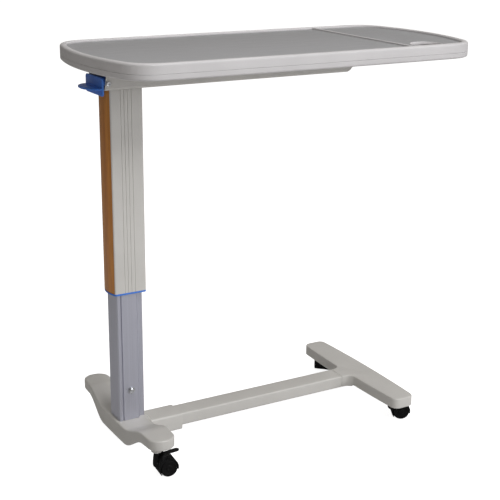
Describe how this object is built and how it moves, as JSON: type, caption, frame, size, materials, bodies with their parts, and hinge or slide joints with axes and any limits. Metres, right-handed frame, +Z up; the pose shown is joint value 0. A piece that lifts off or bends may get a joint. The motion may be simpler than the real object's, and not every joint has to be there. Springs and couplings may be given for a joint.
{
  "type": "overbed table",
  "caption": "Height-adjustable overbed table: rimmed tray with a cup recess on a side arm, telescopic column with a release lever, low H-shaped base and twin-wheel casters.",
  "frame": {"origin": "on the floor, under the middle of the tray's box", "axes": "+Z up; +X along the tray, from the column end to the free end; +Y across the tray, away from the edge with the cup recess"},
  "size_m": [0.898, 0.436, 0.9085],
  "materials": {
    "powder_coat": "satin warm light grey powder coat with a fine orange-peel texture",
    "tray_shell": "moulded light grey plastic, satin",
    "tray_surface": "mid-grey laminate with a fine matt grain",
    "anodised_column": "clear anodised extrusion with faint drawn lines along its length",
    "wood_trim": "beech-coloured strip with its grain along its length, satin varnish",
    "blue_plastic": "blue moulded plastic with a soft gloss",
    "black_plastic": "black moulded nylon, satin",
    "black_wheel": "black hard plastic, dulled by dust at the tread",
    "glide_plastic": "natural white acetal",
    "cylinder_paint": "black gloss paint on drawn steel tube",
    "steel": "plain machined steel",
    "zinc_plate": "bright zinc plate"
  },
  "bodies": {
    "base": {"column_foot": "powder_coat", "end_foot": "powder_coat", "crossbar_tube": "powder_coat", "crossbar_screw_left": "zinc_plate", "crossbar_screw_right": "zinc_plate", "inner_column": "anodised_column", "column_spigot": "steel", "spigot_screw_1": "zinc_plate", "spigot_screw_2": "zinc_plate", "column_bolt": "zinc_plate", "column_washer": "zinc_plate", "column_nut": "zinc_plate", "upper_glide": "glide_plastic", "gas_cylinder": "cylinder_paint", "stem_column_front": "zinc_plate", "stem_column_back": "zinc_plate", "stem_end_front": "zinc_plate", "stem_end_back": "zinc_plate"},
    "lift": {"outer_sleeve": "powder_coat", "wood_strip_left": "wood_trim", "wood_strip_right": "wood_trim", "guide_ring": "blue_plastic", "head_block": "steel", "head_screw_1": "zinc_plate", "head_screw_2": "zinc_plate", "support_arm": "powder_coat", "tray_bottom": "tray_shell", "tray_top": "tray_shell", "tray_panel_main": "tray_surface", "tray_panel_side": "tray_surface", "tray_screw_1": "zinc_plate", "tray_screw_2": "zinc_plate", "tray_screw_3": "zinc_plate", "tray_screw_4": "zinc_plate", "gas_rod": "steel", "gas_piston": "steel", "rod_nut": "zinc_plate", "lever_pivot_bolt": "zinc_plate", "lever_pivot_nut": "zinc_plate"},
    "lever": {"release_lever": "blue_plastic"},
    "pin": {"release_pin": "steel"},
    "swivel_column_front": {"hood_column_front": "black_plastic"},
    "wheelset_column_front": {"axle_column_front": "steel", "wheel_a_column_front": "black_wheel", "wheel_b_column_front": "black_wheel"},
    "pedal_column_front": {"brake_pedal_column_front": "black_plastic"},
    "swivel_column_back": {"hood_column_back": "black_plastic"},
    "wheelset_column_back": {"axle_column_back": "steel", "wheel_a_column_back": "black_wheel", "wheel_b_column_back": "black_wheel"},
    "pedal_column_back": {"brake_pedal_column_back": "black_plastic"},
    "swivel_end_front": {"hood_end_front": "black_plastic"},
    "wheelset_end_front": {"axle_end_front": "steel", "wheel_a_end_front": "black_wheel", "wheel_b_end_front": "black_wheel"},
    "swivel_end_back": {"hood_end_back": "black_plastic"},
    "wheelset_end_back": {"axle_end_back": "steel", "wheel_a_end_back": "black_wheel", "wheel_b_end_back": "black_wheel"}
  },
  "joints": [
    {"name": "height_slide", "type": "slide", "parent": "base", "child": "lift", "axis": [0, 0, 1], "range_m": [-0.19, 0.05]},
    {"name": "lever_pull", "type": "hinge", "parent": "lift", "child": "lever", "pos_m": [-0.4035, 0, 0.8488], "axis": [0, 1, 0], "range_deg": [0, 8], "stiffness_Nm_per_rad": 2},
    {"name": "pin_press", "type": "slide", "parent": "lift", "child": "pin", "axis": [0, 0, 1], "range_m": [-0.0066, 0]},
    {"name": "swivel_turn_column_front", "type": "hinge", "parent": "base", "child": "swivel_column_front", "pos_m": [-0.358, -0.15, 0.05], "axis": [0, 0, 1], "continuous": true},
    {"name": "wheel_roll_column_front", "type": "hinge", "parent": "swivel_column_front", "child": "wheelset_column_front", "pos_m": [-0.33608, -0.15192, 0.02], "axis": [0.0872, 0.9962, 0], "continuous": true},
    {"name": "brake_press_column_front", "type": "hinge", "parent": "swivel_column_front", "child": "pedal_column_front", "pos_m": [-0.34206, -0.15139, 0.049], "axis": [0.0872, 0.9962, 0], "range_deg": [0, 10], "stiffness_Nm_per_rad": 0.3},
    {"name": "swivel_turn_column_back", "type": "hinge", "parent": "base", "child": "swivel_column_back", "pos_m": [-0.358, 0.15, 0.05], "axis": [0, 0, 1], "continuous": true},
    {"name": "wheel_roll_column_back", "type": "hinge", "parent": "swivel_column_back", "child": "wheelset_column_back", "pos_m": [-0.336, 0.15, 0.02], "axis": [0, 1, 0], "continuous": true},
    {"name": "brake_press_column_back", "type": "hinge", "parent": "swivel_column_back", "child": "pedal_column_back", "pos_m": [-0.342, 0.15, 0.049], "axis": [0, 1, 0], "range_deg": [0, 10], "stiffness_Nm_per_rad": 0.3},
    {"name": "swivel_turn_end_front", "type": "hinge", "parent": "base", "child": "swivel_end_front", "pos_m": [0.272, -0.155, 0.05], "axis": [0, 0, 1], "continuous": true},
    {"name": "wheel_roll_end_front", "type": "hinge", "parent": "swivel_end_front", "child": "wheelset_end_front", "pos_m": [0.29142, -0.16533, 0.02], "axis": [0.4695, 0.8829, 0], "continuous": true},
    {"name": "swivel_turn_end_back", "type": "hinge", "parent": "base", "child": "swivel_end_back", "pos_m": [0.272, 0.155, 0.05], "axis": [0, 0, 1], "continuous": true},
    {"name": "wheel_roll_end_back", "type": "hinge", "parent": "swivel_end_back", "child": "wheelset_end_back", "pos_m": [0.28756, 0.17056, 0.02], "axis": [-0.7071, 0.7071, 0], "continuous": true}
  ],
  "couplings": [
    {"joint": "pin_press", "follows": "lever_pull", "m_per_rad": -0.0455}
  ]
}
